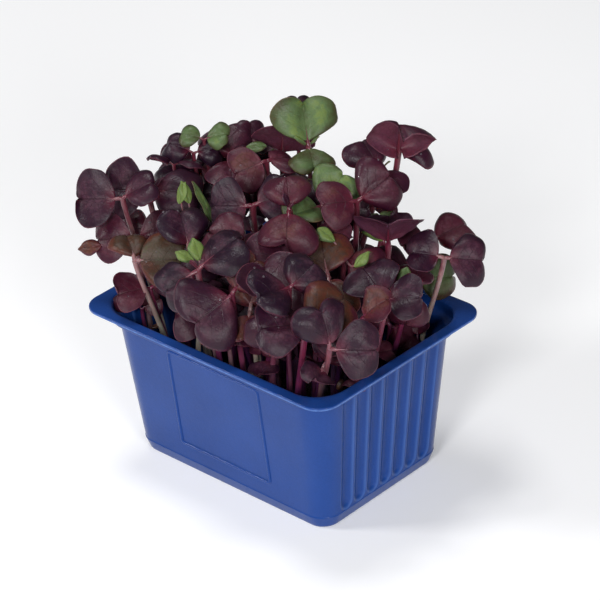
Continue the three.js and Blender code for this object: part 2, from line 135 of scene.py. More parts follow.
# Punnet. One thin moulded shell of glossy blue plastic: a flat base inside a sloping heel, tapered walls,
# a collar with a ledge inside it, and a flat flange whose lip turns over the edge.
HEIGHT, WALL, HEEL_HEIGHT, SHOULDER_DEPTH, COLLAR_DEPTH, LIP = 52.5, 0.8, 4.5, 4.6, 3.6, 1.0
FLANGE, OPENING, SHOULDER = (50, 37.5, 7), (46, 33.5, 11), (43.4, 30.9, 8.4)
HEEL, FOOT, CORE = (39.1, 26.6, 6), (37.6, 25.1, 4.5), (22, 12, 2)
HEEL_STEP, HEEL_STEP_HEIGHT = 0.16, 0.3
WALL_POINTS = {"short": 126, "long": 30}
CORNER_POINTS, LEVEL_STEP = 10, 0.75
FLUTES, FLUTE_SHARE, FLUTE_DEPTH = 7, 0.84, 1.35
FLUTE_LOW, FLUTE_HIGH, FLUTE_TOP_BLUNTNESS, FAR_FROM_FLUTE = 4.9, 47.0, 3.0, 9.0
EDGE_HIGHLIGHT, LIP_HIGHLIGHT_X, LIP_HIGHLIGHT_Y = (0.1, 0.2, 0.5, 1), 47.8, 35.3


class Wire:
    """An output in a node tree. An expression on wires and numbers adds the Math nodes that work it out."""

    def __init__(self, tree, socket=None):
        self.tree, self.socket = tree, socket

    def node(self, kind, settings=None, inputs=None, output=0):
        """Any node, from its type, its settings and the values or wires of its sockets."""
        made = self.tree.nodes.new(kind)
        for name, value in (settings or {}).items():
            if name == "stops":
                while len(made.color_ramp.elements) < len(value):
                    made.color_ramp.elements.new(0.5)
                for stop, (place, colour) in zip(made.color_ramp.elements, value):
                    stop.position, stop.color = place, (*colour, 1)
            else:
                setattr(made, name, value)
        for name, value in (inputs or {}).items():
            if isinstance(value, Wire):
                self.tree.links.new(value.socket, made.inputs[name])
            else:
                made.inputs[name].default_value = value
        return Wire(self.tree, made.outputs[output]) if made.outputs else None

    def maths(self, operation, *values):
        """This wire and other values through a Math node."""
        return self.node("ShaderNodeMath", {"operation": operation}, dict(enumerate((self, *values))))

    def __add__(self, other):
        return self.maths("ADD", other)

    def __sub__(self, other):
        return self.maths("SUBTRACT", other)

    def __rsub__(self, other):
        return self.node("ShaderNodeMath", {"operation": "SUBTRACT"}, {0: other, 1: self})

    def __mul__(self, other):
        return self.maths("MULTIPLY", other)

    def __truediv__(self, other):
        return self.maths("DIVIDE", other)

    def __abs__(self):
        return self.maths("ABSOLUTE")

    __radd__, __rmul__ = __add__, __mul__

    def larger(self, other):
        """This or the other, whichever is larger."""
        return self.maths("MAXIMUM", other)

    def mixed(self, other, share):
        """This colour, and the other one by that share."""
        return self.node("ShaderNodeMix", {"data_type": "RGBA"}, {0: share, 6: self, 7: other}, 2)

    def within(self, low, high):
        """0 below low and 1 above high, smooth between them."""
        return self.node("ShaderNodeMapRange", {"interpolation_type": "SMOOTHSTEP"},
                         {"Value": self, "From Min": low, "From Max": high})

    def parts(self):
        """The three numbers of a vector."""
        split = self.node("ShaderNodeSeparateXYZ", None, {0: self})
        return [Wire(self.tree, number) for number in split.socket.node.outputs]

    def ramp(self, *stops):
        """The colour at this share of a ramp."""
        return self.node("ShaderNodeValToRGB", {"stops": stops}, {"Fac": self})

    def noise(self, scale, detail, **more):
        """A noise at these coordinates."""
        return self.node("ShaderNodeTexNoise", None,
                         {"Vector": self, "Scale": scale, "Detail": detail, **more})

    def bump(self, strength, distance, **under):
        """The relief that this height makes."""
        return self.node("ShaderNodeBump", None,
                         {"Strength": strength, "Distance": distance, "Height": self, **under})

    def label(self, name):
        """What the mesh says under a label."""
        return self.node("ShaderNodeAttribute", {"attribute_name": name}, output="Fac")


def finish(name):
    """A new material, and the wire of the Object coordinates in it."""
    made = bpy.data.materials.new(name)
    made.use_nodes = True
    made.node_tree.nodes.clear()
    return made, Wire(made.node_tree).node("ShaderNodeTexCoord", output="Object")


def coat(wire, **sockets):
    """The surface of a material: one Principled shader, its sockets named with _ for each space."""
    shader = wire.node("ShaderNodeBsdfPrincipled", None, {k.replace("_", " "): v for k, v in sockets.items()})
    wire.node("ShaderNodeOutputMaterial", None, {"Surface": shader})


def blank_tree(name, **sizes):
    """A Geometry Nodes tree with named inputs, and a wire for each of them."""
    tree = bpy.data.node_groups.new(name, "GeometryNodeTree")
    tree.interface.new_socket("Geometry", in_out="INPUT", socket_type="NodeSocketGeometry")
    tree.interface.new_socket("Geometry", in_out="OUTPUT", socket_type="NodeSocketGeometry")
    kinds = {int: "NodeSocketInt", float: "NodeSocketFloat", bpy.types.Material: "NodeSocketMaterial"}
    for label, value in sizes.items():
        kind = next(made for known, made in kinds.items() if isinstance(value, known))
        tree.interface.new_socket(label, in_out="INPUT", socket_type=kind)
    entry = tree.nodes.new("NodeGroupInput")
    return tree, {socket.name: Wire(tree, socket) for socket in entry.outputs if socket.name}


def close_tree(geometry, material):
    """Ends a tree: its instances become real, and it takes its material."""
    real = geometry.node("GeometryNodeRealizeInstances", None, {"Geometry": geometry})
    dressed = real.node("GeometryNodeSetMaterial", None, {"Geometry": real, "Material": material})
    dressed.node("NodeGroupOutput", None, {0: dressed})


def run_tree(name, tree, source, **sizes):
    """The plain mesh that a tree makes of an object, which is then removed."""
    modifier = source.modifiers.new(tree.name, "NODES")
    modifier.node_group = tree
    for item in tree.interface.items_tree:
        if item.name in sizes:
            modifier[item.identifier] = sizes[item.name]
    seen = source.evaluated_get(bpy.context.evaluated_depsgraph_get())
    mesh = bpy.data.meshes.new_from_object(seen)
    mesh.name = name
    piece = in_scene(name, mesh)
    bpy.data.objects.remove(source)
    return piece


def ring(half_x, half_y, radius, z):
    """A level of the punnet: a rounded rectangle, anticlockwise from its +X wall."""
    points = []
    for turn in range(4):
        wall, straight = ("short", half_y - radius) if turn % 2 == 0 else ("long", half_x - radius)
        out, count = (half_x, half_y)[turn % 2], WALL_POINTS[wall]
        c, s = (1, 0, -1, 0)[turn], (0, 1, 0, -1)[turn]
        along = np.linspace(-straight, straight, count, endpoint=False)
        points += [(c * out - s * a, s * out + c * a) for a in along]
        for step in range(CORNER_POINTS):
            angle = math.pi / 2 * step / CORNER_POINTS
            u, v = out - radius + radius * math.cos(angle), straight + radius * math.sin(angle)
            points.append((c * u - s * v, s * u + c * v))
    return np.array([(x, y, z) for x, y in points])


def soften(stations, steps=5):
    """The levels of a profile with its corners rounded: each station is (size, height, cut)."""
    levels = []
    places = [np.array((*size, z), float) for size, z, _ in stations]
    for i, (_, _, cut) in enumerate(stations):
        if i in (0, len(stations) - 1):
            levels.append(places[i])
            continue
        ends = []
        for other in (places[i - 1], places[i + 1]):
            way = other - places[i]
            ends.append(places[i] + way * min(cut / np.hypot(way[0], way[3]), 0.5))
        for t in np.linspace(0, 1, steps):
            levels.append(ends[0] * (1 - t) ** 2 + 2 * places[i] * t * (1 - t) + ends[1] * t**2)
    return levels


def filled(levels, longest):
    """More levels between those that are further apart than the longest step."""
    made = [levels[0]]
    for level in levels[1:]:
        gap = level - made[-1]
        steps = max(1, math.ceil(np.hypot(gap[0], gap[3]) / longest))
        start = made[-1]
        made += [start + gap * step / steps for step in range(1, steps + 1)]
    return made


def grown(size, by):
    """A level's half sides and corner radius, all larger by as much."""
    return tuple(value + by for value in size)


def loft(rings):
    """Points and faces of a closed skin over rings of equal length, from the outside of its base."""
    count = len(rings[0])
    points = np.concatenate(rings)
    faces = [(a, b, b + count, a + count) for level in range(len(rings) - 1)
             for a, b in ((level * count + i, level * count + (i + 1) % count) for i in range(count))]
    for last in (False, True):
        start, middle = (len(rings) - 1) * count if last else 0, len(points)
        points = np.vstack([points, (rings[-1] if last else rings[0]).mean(axis=0)])
        spokes = [(start + i, start + (i + 1) % count) for i in range(count)]
        faces += [(a, b, middle) if last else (b, a, middle) for a, b in spokes]
    return points, faces


profile = soften([
    (CORE, 0, 0), (grown(FOOT, WALL), 0, 1.1), (grown(HEEL, WALL + HEEL_STEP), HEEL_HEIGHT, 0.15),
    (grown(HEEL, WALL), HEEL_HEIGHT + HEEL_STEP_HEIGHT, 0.12),
    (grown(SHOULDER, WALL), HEIGHT - SHOULDER_DEPTH - WALL, 0.8),
    (grown(OPENING, WALL), HEIGHT - COLLAR_DEPTH - WALL, 0.5), (grown(OPENING, WALL), HEIGHT - LIP, 0.4),
    (FLANGE, HEIGHT - LIP, 0.15), (FLANGE, HEIGHT, 0.3), (OPENING, HEIGHT, 1.0),
    (OPENING, HEIGHT - COLLAR_DEPTH, 0.7), (SHOULDER, HEIGHT - SHOULDER_DEPTH, 0.9),
    (HEEL, HEEL_HEIGHT, 0.8), (FOOT, WALL, 0.8), (CORE, WALL, 0)])
punnet = add_piece("punnet_shell", *loft([ring(*level) for level in filled(profile, LEVEL_STEP)]))

blue, place = finish("blue_plastic")
cloud, grain = place.noise(38.0, 3.0), place.noise(1900.0, 2.0)
scuff = place.noise(420.0, 6.0, Roughness=0.7)
x, y, z = place.parts()
tint = (cloud + (grain - 0.5) * 0.5).ramp((0.3, (0.007, 0.039, 0.19)), (0.7, (0.011, 0.051, 0.235)))
# Painted highlight: a lighter line round the outside of the lip, where its rounded edge catches the light,
# broken up by the scuff noise.
rim = (abs(x) / (LIP_HIGHLIGHT_X * MM)).within(0.99, 1.0).larger((abs(y) / (LIP_HIGHLIGHT_Y * MM)).within(0.99, 1.0))
low, high = (HEIGHT - LIP) * MM, HEIGHT * MM
edge = rim * z.within(low - 0.00005, low + 0.0001) * (1 - z.within(low + 0.0003, high - 0.0002))
tint = tint.mixed(EDGE_HIGHLIGHT, edge * (0.35 + scuff.within(0.3, 0.7) * 0.65))
# Painted highlight: lighter lines along the crests between the flutes and round their rounded ends.
flute = place.label("flute")
tint = tint.mixed(EDGE_HIGHLIGHT, flute.within(0.5, 1.0) * (1 - flute.within(1.05, 1.4)) * 0.3)
coat(place, Base_Color=tint, Roughness=0.3 + scuff.within(0.45, 0.8) * 0.16,
     Normal=(grain * 0.5 + scuff).bump(0.3, 0.0002), Specular_IOR_Level=0.1, Coat_Weight=0.3,
     Coat_Roughness=0.1)

flute_tree, put = blank_tree("flutes", Count=1, Share=1.0, Depth=1.0, Low=1.0, High=1.0, Material=blue)
spot = put["Geometry"].node("GeometryNodeInputPosition")
x, y, z = spot.parts()
low_half, high_half = (HEEL[1] - HEEL[2]) * MM, (SHOULDER[1] - SHOULDER[2]) * MM
taper = (z - HEEL_HEIGHT * MM) / ((HEIGHT - SHOULDER_DEPTH - HEEL_HEIGHT) * MM)
straight = low_half + taper * (high_half - low_half)
pitch = straight * 2 / put["Count"]
half = pitch * put["Share"] / 2
across = (y + straight) / pitch
off_centre = (across.maths("FRACT") - 0.5) * pitch
past_top = (z - put["High"]) * FLUTE_TOP_BLUNTNESS + half
past_end = (put["Low"] + half - z).larger(past_top).larger(0.0)
reach = (off_centre * off_centre + past_end * past_end) / (half * half)
on_wall = abs(y).maths("LESS_THAN", straight)
push = (1 - reach).larger(0.0) * on_wall * put["Depth"] * x.maths("SIGN") * -1.0
moved = push.node("ShaderNodeCombineXYZ", None, {"X": push})
labelled = reach.node("GeometryNodeStoreNamedAttribute", {"data_type": "FLOAT", "domain": "POINT"},
                      {"Geometry": put["Geometry"], "Name": "flute",
                       "Value": reach + (1 - on_wall) * FAR_FROM_FLUTE})
pressed = moved.node("GeometryNodeSetPosition", None, {"Geometry": labelled, "Offset": moved})
close_tree(pressed, put["Material"])
punnet = run_tree("punnet_shell", flute_tree, punnet, Count=FLUTES, Share=FLUTE_SHARE, Depth=FLUTE_DEPTH * MM,
                  Low=FLUTE_LOW * MM, High=FLUTE_HIGH * MM, Material=blue)
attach(punnet, "root")
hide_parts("punnet")

# Raised line. A thin ridge of the same blue plastic round the plain panel in the middle of the smooth
# wall, moulded in one with it.
PANEL_HALF, PANEL_LOW, PANEL_HIGH = 18.5, 10.4, 45.2
LINE_WIDTH, LINE_CORNER, LINE_SUNK, LINE_SIDES = 1.0, 1.2, 0.02, 12


def wall_at(z):
    """The level of the wall's inside at a height between the heel and the shoulder."""
    share = (z - HEEL_HEIGHT) / (HEIGHT - SHOULDER_DEPTH - HEEL_HEIGHT)
    return tuple(low + (high - low) * share for low, high in zip(HEEL, SHOULDER))


def tube(path, radius, sides, caps=True, **more):
    """A round skin along a curve."""
    section = path.node("GeometryNodeCurvePrimitiveCircle", None, {"Resolution": sides, "Radius": radius})
    return path.node("GeometryNodeCurveToMesh", None,
                     {"Curve": path, "Profile Curve": section, "Fill Caps": caps, **more})


corners = [(x, -wall_at(z)[1] - WALL + LINE_SUNK, z) for x, z in (
    (-PANEL_HALF, PANEL_LOW), (PANEL_HALF, PANEL_LOW), (PANEL_HALF, PANEL_HIGH), (-PANEL_HALF, PANEL_HIGH))]
line_path = add_piece("panel_line", corners, edges=[(0, 1), (1, 2), (2, 3), (3, 0)])

line_tree, put = blank_tree("line_along_path", Width=1.0, Corner=1.0, Material=blue)
path = put["Geometry"].node("GeometryNodeMeshToCurve", None, {"Mesh": put["Geometry"]})
bent = path.node("GeometryNodeFilletCurve", {"mode": "POLY"},
                 {"Curve": path, "Radius": put["Corner"], "Count": 6, "Limit Radius": True})
close_tree(tube(bent, put["Width"] / 2, LINE_SIDES, caps=False), put["Material"])
line = run_tree("panel_line", line_tree, line_path, Width=LINE_WIDTH * MM, Corner=LINE_CORNER * MM,
                Material=blue)
line.data.shade_smooth()
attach(line, "root")

# Growing mat. A block of dark damp fibre that fills a third of the punnet, cut to its shape and laid in
# before sowing. Its top is rough and combed by roots.
MAT_TOP, MAT_BOTTOM, MAT_INSET = 17.0, 1.2, 1.4
MAT_EDGE_DROP, MAT_EDGE_INSET, MAT_STEPS = 0.4, 0.3, 26
WAVES, WAVES_TO_MM, WAVE_SUM, LUMP_HEIGHT = 40, (0.2, 1.6), 9, 0.8

mat_levels = [(*grown(FOOT, -MAT_INSET), MAT_BOTTOM), (*grown(HEEL, -MAT_INSET), HEEL_HEIGHT),
              (*grown(wall_at(MAT_TOP), -MAT_INSET), MAT_TOP - MAT_EDGE_DROP)]
mat_levels += [(*(np.array(grown(wall_at(MAT_TOP), -MAT_INSET - MAT_EDGE_INSET)) * share), MAT_TOP)
               for share in np.linspace(1, 0.05, MAT_STEPS)]
mat_points, mat_faces = loft([ring(*level) for level in mat_levels])
lumps = np.random.default_rng(11)
on_top = mat_points[:, 2] > MAT_TOP - 0.1
waves = lumps.uniform(*WAVES_TO_MM, (WAVES, 2)) * lumps.choice([-1, 1], (WAVES, 2))
turns = lumps.uniform(0, 2 * np.pi, WAVES)
heights = np.sin(mat_points[:, :2] @ waves.T + turns).sum(axis=1) / WAVE_SUM
mat_points[:, 2] += np.where(on_top, heights * LUMP_HEIGHT, 0)

soil, place = finish("damp_fibre")
strands = place.noise(900.0, 5.0, Distortion=1.5)
tint = strands.ramp((0.35, (0.008, 0.005, 0.004)), (0.6, (0.03, 0.017, 0.011)), (0.75, (0.09, 0.05, 0.03)))
coat(place, Base_Color=tint, Roughness=0.75, Normal=strands.bump(0.9, 0.0008))
mat = add_piece("growing_mat_block", mat_points, mat_faces, material=soil)
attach(mat, "root")
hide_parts("growing_mat")

# Seedlings. Each radish seedling is a round stem that stands in the mat and carries two notched seed
# leaves on short stalks. They grow here as in the CAD model, by the same draws: a try is the one that
# grew when the model holds its leaves' notches, and where no try fits, nothing grew.
COLUMNS, ROWS, REACH_X, REACH_Y, JITTER, SPREAD = 8, 7, 34, 22, 1.2, 1.3
SIBLING_FEET = ((-0.55, 0), (0.55, 0), (0, 0.8))
ROUNDS = ((1, 1.3, 0, 1, 1), (8, 1.3, 0, 1, 1), (8, 1.5, 0.6, 2, 0.95), (4, 1.35, 0, 2, 0.85),
          (12, 1.4, 0, 2, 0.8), (9, 1.3, 0, 3, 0.75), (16, 1.35, 0, 3, 0.7))
LEAN_HEADING, LEAN = math.radians(-50), 0.4
CROP_X, CROP_Y, CANOPY, CANOPY_SLOPE, CANOPY_DROP = 50, 38, 85, (-0.03, 0.17), (6, 8)
TRIES, LOWEST_HEAD, STEEPEST, FOOT_Z = 350, 64, 82, 11.4
CAD_BLADE, NOTCH, NEAR_ENOUGH = 0.8, 0.84, 0.03
LEADERS = (
    ("left_tip", (-49, -17, 84), ((216, 0, -50, 18), (50, 30, 20, 14))),
    ("left_upper", (-48, -7, 81), ((222, 12, -50, 18), (35, 5, 40, 18))),
    ("left_low", (-42, -19, 74), ((225, -5, -45, 15), (45, 10, 45, 15))),
    ("left_bronze", (-32, -30, 73), ((42, 5, 50, 18), (150, 30, 0, 13))),
    ("front_left", (6, -26, 72), ((255, -15, -35, 23), (80, 40, 20, 17))),
    ("front_wine", (-2, -12, 77), ((190, 20, -45, 17), (20, 15, 35, 14))),
    ("middle", (16, -12, 74), ((165, 40, -20, 21), (345, -10, 30, 14))),
    ("front_middle", (24, -4, 74), ((134, 50, 0, 18), (314, -30, 0, 17))),
    ("front_right", (42, -1, 71), ((165, 35, -20, 18), (20, 20, 35, 15))),
    ("front_corner", (48, -8, 66), ((235, -5, -45, 19), (45, 25, 45, 15))),
    ("right_low", (48, 5, 70), ((300, -40, 10, 15), (110, 40, 0, 13))),
    ("right_upright", (28, 19, 77), ((314, 60, 0, 19), (134, 30, 0, 15))),
    ("star", (18, 18, 87), ((60, 20, 40, 17), (250, 10, -40, 15))),
    ("right_fold", (34, 29, 77), ((60, 35, 30, 17), (235, 20, -35, 15))),
    ("right_end", (43, 25, 76), ((42, -5, 45, 17), (225, 10, -35, 14))),
    ("top_right", (17, 40, 95), ((314, 72, 0, 20), (60, 0, 10, 13))),
    ("top_back", (17, 30, 93), ((150, 30, 0, 15), (330, -10, 0, 13))),
    ("top_green", (-12, 29, 92), ((140, 45, -5, 20), (320, -5, 0, 13))),
    ("top_middle", (-25, 29, 87), ((314, 68, 0, 20), (134, 10, -20, 15))),
    ("top_left", (-36, 18, 85), ((134, 45, 0, 17), (314, -15, 0, 15))),
    ("upper_satin", (-33, 18, 84), ((200, 15, -45, 15), (20, 15, 35, 13))),
    ("upper_left", (-39, 6, 79), ((160, 35, -15, 16), (340, 0, 0, 14))),
    ("upper_tip", (-41, 12, 85), ((200, 25, -40, 16), (20, 0, 40, 16))),
    ("upper_green", (-40, 15, 88), ((170, 30, -60, 14), (350, -10, 0, 14))),
    ("middle_left", (-11, 1, 84), ((222, 5, -55, 16), (42, 20, 35, 15))),
    ("left_gloss", (-18, -17, 75), ((150, 40, -10, 16), (330, -20, 0, 13))),
    ("wine_wide", (6, 3, 87), ((314, -15, 0, 19), (134, 35, 0, 15))),
    ("ridge", (9, 16, 85), ((200, 20, -40, 17), (20, 15, 30, 15))),
    ("middle_right", (24, 5, 82), ((170, 30, -20, 17), (350, 0, 20, 15))),
    ("right_green", (11, 25, 82), ((134, 50, 0, 15), (314, -10, 0, 13))),
    ("left_wavy", (-19, 23, 88), ((222, 0, -30, 16), (42, 0, 30, 15))),
    ("front_orange", (9, -23, 68), ((134, 55, 0, 15), (314, -20, 0, 13))),
)

growth = {"seed": 20260, "factor": 16807, "modulus": 2147483647}


def draw(low, high):
    """The next random number between two of them, the same in every run."""
    growth["seed"] = growth["seed"] * growth["factor"] % growth["modulus"]
    return low + (high - low) * growth["seed"] / growth["modulus"]


def leaf_axes(heading, pitch, roll):
    """A leaf's own axes: along its midrib, across it and up from its face."""
    c, s = math.cos(heading), math.sin(heading)
    along = Vector((c * math.cos(pitch), s * math.cos(pitch), math.sin(pitch)))
    flat = Vector((-s, c, 0))
    upright = along.cross(flat)
    return (along, flat * math.cos(roll) + upright * math.sin(roll),
            upright * math.cos(roll) - flat * math.sin(roll))


def try_seedling(plan, share):
    """One try at a seedling: its plan, moved and turned a little more with every try."""
    shift, turn = 1 + 9 * share, 5 + 35 * share
    x, y, z = plan["top"]
    top = Vector((x + draw(-shift, shift), y + draw(-shift, shift), z + draw(-1.6 * shift, shift / 2)))
    swing = draw(-turn, turn)
    leaves = []
    for heading, rise, roll, width in plan["leaves"]:
        along, across, face = leaf_axes(
            math.radians(heading + swing + draw(-6, 6)),
            math.radians(min(rise + draw(-turn, turn), STEEPEST)), math.radians(roll + draw(-turn, turn)))
        stalk = draw(1.2, 2.4)
        size = width * (1 - 0.2 * share)
        leaves.append({"base": top + along * stalk + face * (0.3 * stalk), "along": along, "across": across,
                       "face": face, "width": size, "length": size * draw(0.62, 0.74), "fold": draw(0, 0.45),
                       "cup": draw(0.1, 0.45), "droop": draw(0, 0.25)})
    return {"name": plan["name"], "top": top, "leaves": leaves}


cad_points = [v.co / MM for name, node in frame["nodes"].items() if name.startswith("seedlings")
              for v in node.data.vertices]
cad_spots = KDTree(len(cad_points))
for i, point in enumerate(cad_points):
    cad_spots.insert(point, i)
cad_spots.balance()


def is_in_model(leaf):
    """Whether the model holds the notch of a leaf."""
    notch = leaf["base"] + leaf["along"] * (leaf["length"] * NOTCH)
    notch += leaf["face"] * (CAD_BLADE / 2 - leaf["droop"] * leaf["length"] * NOTCH**2)
    return cad_spots.find(notch)[2] < NEAR_ENOUGH


def grow_in(clump, plan):
    """Adds to a clump the first try at a plan whose leaves are in the model."""
    beside_x, beside_y = SIBLING_FEET[len(clump["seedlings"])]
    for attempt in range(TRIES):
        seedling = try_seedling(plan, attempt / TRIES)
        if all(is_in_model(leaf) for leaf in seedling["leaves"]):
            seedling["foot"] = Vector((clump["x"] + beside_x, clump["y"] + beside_y, FOOT_Z))
            clump["seedlings"].append(seedling)
            return


def canopy(x, y):
    """The height of the crop's top over a place."""
    slope = CANOPY_SLOPE[0] * x + CANOPY_SLOPE[1] * y
    return CANOPY + slope - CANOPY_DROP[0] * (x / CROP_X) ** 2 - CANOPY_DROP[1] * (y / CROP_Y) ** 2


def plan_head(clump, depth, out, size):
    """A head over a clump, its leaves opposite each other, leaning outwards and to the light."""
    x, y = clump["x"] * out, clump["y"] * out
    z = max(canopy(x, y) - depth + draw(-3, 3), LOWEST_HEAD)
    heading = draw(0, 360)
    pull = draw(0.2, 0.7)
    tilt = (x / CROP_X * pull + LEAN * math.cos(LEAN_HEADING),
            y / CROP_Y * pull + LEAN * math.sin(LEAN_HEADING))
    lean, side = min(0.9, math.hypot(*tilt)), math.atan2(tilt[1], tilt[0])
    leaves = []
    for half_turn in (0, 180):
        turn = math.radians(heading + half_turn + draw(-20, 20))
        rise = draw(0, 45) - math.degrees(lean * math.cos(turn - side))
        roll = draw(-20, 20) + math.degrees(lean * math.sin(turn - side))
        leaves.append((math.degrees(turn), rise, roll, draw(16, 22) * size))
    return {"name": "", "top": (x, y, z), "leaves": leaves}


clumps = []
for column in range(COLUMNS):
    for row in range(ROWS):
        x = -REACH_X + 2 * REACH_X * column / (COLUMNS - 1) + draw(-JITTER, JITTER)
        y = -REACH_Y + 2 * REACH_Y * row / (ROWS - 1) + draw(-JITTER, JITTER)
        clumps.append({"x": x, "y": y, "seedlings": []})
for name, top, leaves in LEADERS:
    nearest = min((c for c in clumps if not c["seedlings"]),
                  key=lambda c: math.hypot(top[0] - c["x"] * SPREAD, top[1] - c["y"] * SPREAD))
    grow_in(nearest, {"name": name, "top": top, "leaves": leaves})
for depth, out, border, most, size in ROUNDS:
    for clump in clumps:
        outside = max(abs(clump["x"]) / REACH_X, abs(clump["y"]) / REACH_Y)
        if len(clump["seedlings"]) < most and outside >= border:
            grow_in(clump, plan_head(clump, depth, out, size))
clumps = [clump for clump in clumps if clump["seedlings"]]
crop = [seedling for clump in clumps for seedling in clump["seedlings"]]
for number, clump in enumerate(clumps, 1):
    clump["node"] = f"seedlings_{number:02d}"

# Stems. Smooth juicy stems, crimson and pink above, a few of them pale; lower down, where they stand in
# the shade, they are painted darker and violet, a painted shade and a painted reflection of the blue plastic.
# At its top each splits into the two stalks, which run on as the midribs under its leaves.
STEM_RADIUS, STALK_RADIUS, RIB_RADIUS = 0.98, 0.72, 0.3
STEM_SIDES, STEM_STEPS, STALK_STEPS, RIB_STEPS = 10, 26, 9, 7
RIB_REACH, RIB_LIFT = 0.62, -0.36
PALE_HEADS, PALEST = ("left_bronze", "right_end"), 0.9
SHADE_TOP, SHADE_TO_LIGHT = 20, 60

moods = np.random.default_rng(7)


def on_leaf(leaf, length_share, width_share, lift=0.0):
    """Points of a leaf, from its shares of length and of half width. It is folded at the midrib, cupped
    and drooping."""
    half = leaf["width"] / 2
    rise = (leaf["fold"] * half * np.abs(width_share) - leaf["cup"] * half * width_share**2
            - leaf["droop"] * leaf["length"] * length_share**2) + lift
    ways = ((leaf["along"], leaf["length"] * length_share), (leaf["across"], half * width_share),
            (leaf["face"], rise))
    moves = (np.asarray(amount)[..., None] * np.array(axis) for axis, amount in ways)
    return np.array(leaf["base"]) + sum(moves)


def bezier(places, count):
    """Points along a cubic curve."""
    t = np.linspace(0, 1, count)[:, None]
    a, b, c, d = (np.array(place, float) for place in places)
    return a * (1 - t) ** 3 + 3 * b * t * (1 - t) ** 2 + 3 * c * t**2 * (1 - t) + d * t**3


def lerp(a, b, share):
    """The place at a share of the way from a to b."""
    return a + (b - a) * share


paths = []
for seedling in crop:
    foot, top = seedling["foot"], seedling["top"]
    neck = Vector((foot.x, foot.y, MAT_TOP + 1))
    rise = top.z - neck.z
    bend = (neck, neck + Vector((0, 0, rise * 0.45)),
            Vector((lerp(foot.x, top.x, 0.8), lerp(foot.y, top.y, 0.8), top.z - rise * 0.25)), top)
    stem = np.vstack([[foot], bezier(bend, STEM_STEPS)])
    up = np.linspace(0, 1, len(stem))
    girth = moods.uniform(0.86, 1.08)
    thickness = STEM_RADIUS * girth * (1.06 - 0.28 * up + 0.2 * up**6)
    pale = moods.choice([0.0, 0.0, 0.0, 0.15, 0.3, 0.8]) + moods.uniform(0, 0.15)
    if seedling["name"] in PALE_HEADS:
        pale = PALEST
    paths.append((stem, thickness, stem[:, 2], pale))
    climb = (bend[3] - bend[2]).normalized()
    for leaf in seedling["leaves"]:
        reach = (leaf["base"] - top).length
        stalk = bezier((top - climb * 1.2, top + climb * reach * 0.35,
                        leaf["base"] - leaf["along"] * reach * 0.45 - leaf["face"] * 0.25,
                        leaf["base"] - leaf["face"] * 0.2), STALK_STEPS)
        shares = np.linspace(0.08, RIB_REACH, RIB_STEPS)
        way = np.vstack([stalk, on_leaf(leaf, shares, shares * 0, RIB_LIFT)])
        thin = np.concatenate([
            np.linspace(STALK_RADIUS * 1.15, STALK_RADIUS * 0.9, STALK_STEPS),
            np.linspace(STALK_RADIUS * 0.72, RIB_RADIUS * 0.4, RIB_STEPS)]) * girth
        paths.append((way, thin, np.full(len(way), top.z), pale))


def mark(mesh, **labels):
    """Writes numbers on the points of a mesh under each label."""
    for label, values in labels.items():
        mesh.attributes.new(label, "FLOAT", "POINT").data.foreach_set("value", values.astype(np.float32))


def lines(name, paths):
    """An object of chained edges, a chain for each path, with each point's thickness, height and pallor."""
    starts = np.cumsum([0] + [len(way) for way, *_ in paths])
    edges = [(start + i, start + i + 1) for start, (way, *_) in zip(starts, paths)
             for i in range(len(way) - 1)]
    made = add_piece(name, np.vstack([way for way, *_ in paths]), edges=edges)
    mark(made.data, thickness=np.concatenate([thickness for _, thickness, *_ in paths]) * MM,
         height=np.concatenate([height for *_, height, _ in paths]) * MM,
         pale=np.concatenate([np.full(len(way), pale) for way, *_, pale in paths]))
    return made


stem_skin, place = finish("stem_skin")
height, pale = place.label("height"), place.label("pale")
streaks = place.noise(260.0, 4.0)
# Painted shade and reflection: the colour darkens and turns violet towards the mat, where the stems stand in
# shadow among the blue walls.
climb = (height - SHADE_TOP * MM) / (SHADE_TO_LIGHT * MM) + (streaks - 0.5) * 0.5
red = climb.ramp((0.0, (0.04, 0.012, 0.07)), (0.35, (0.09, 0.016, 0.065)), (0.7, (0.17, 0.02, 0.055)),
                 (1.0, (0.12, 0.014, 0.03)))
cream = climb.ramp((0.0, (0.14, 0.1, 0.15)), (0.4, (0.3, 0.27, 0.22)), (0.75, (0.3, 0.17, 0.17)),
                   (1.0, (0.14, 0.03, 0.045)))
coat(place, Base_Color=red.mixed(cream, pale.within(0.1, 0.9)), Roughness=0.36,
     Normal=streaks.bump(0.25, 0.0004), Subsurface_Weight=0.15, Subsurface_Scale=0.0012, Coat_Weight=0.2,
     Coat_Roughness=0.25)

stem_tree, put = blank_tree("stems_along_paths", Sides=3, Material=stem_skin)
path = put["Geometry"].node("GeometryNodeMeshToCurve", None, {"Mesh": put["Geometry"]})
girth = path.node("GeometryNodeInputNamedAttribute", {"data_type": "FLOAT"}, {"Name": "thickness"})
close_tree(tube(path, 1.0, put["Sides"], Scale=girth), put["Material"])
stems = run_tree("stems_and_stalks", stem_tree, lines("stems", paths), Sides=STEM_SIDES, Material=stem_skin)
stems.data.shade_smooth()
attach(stems, "root")

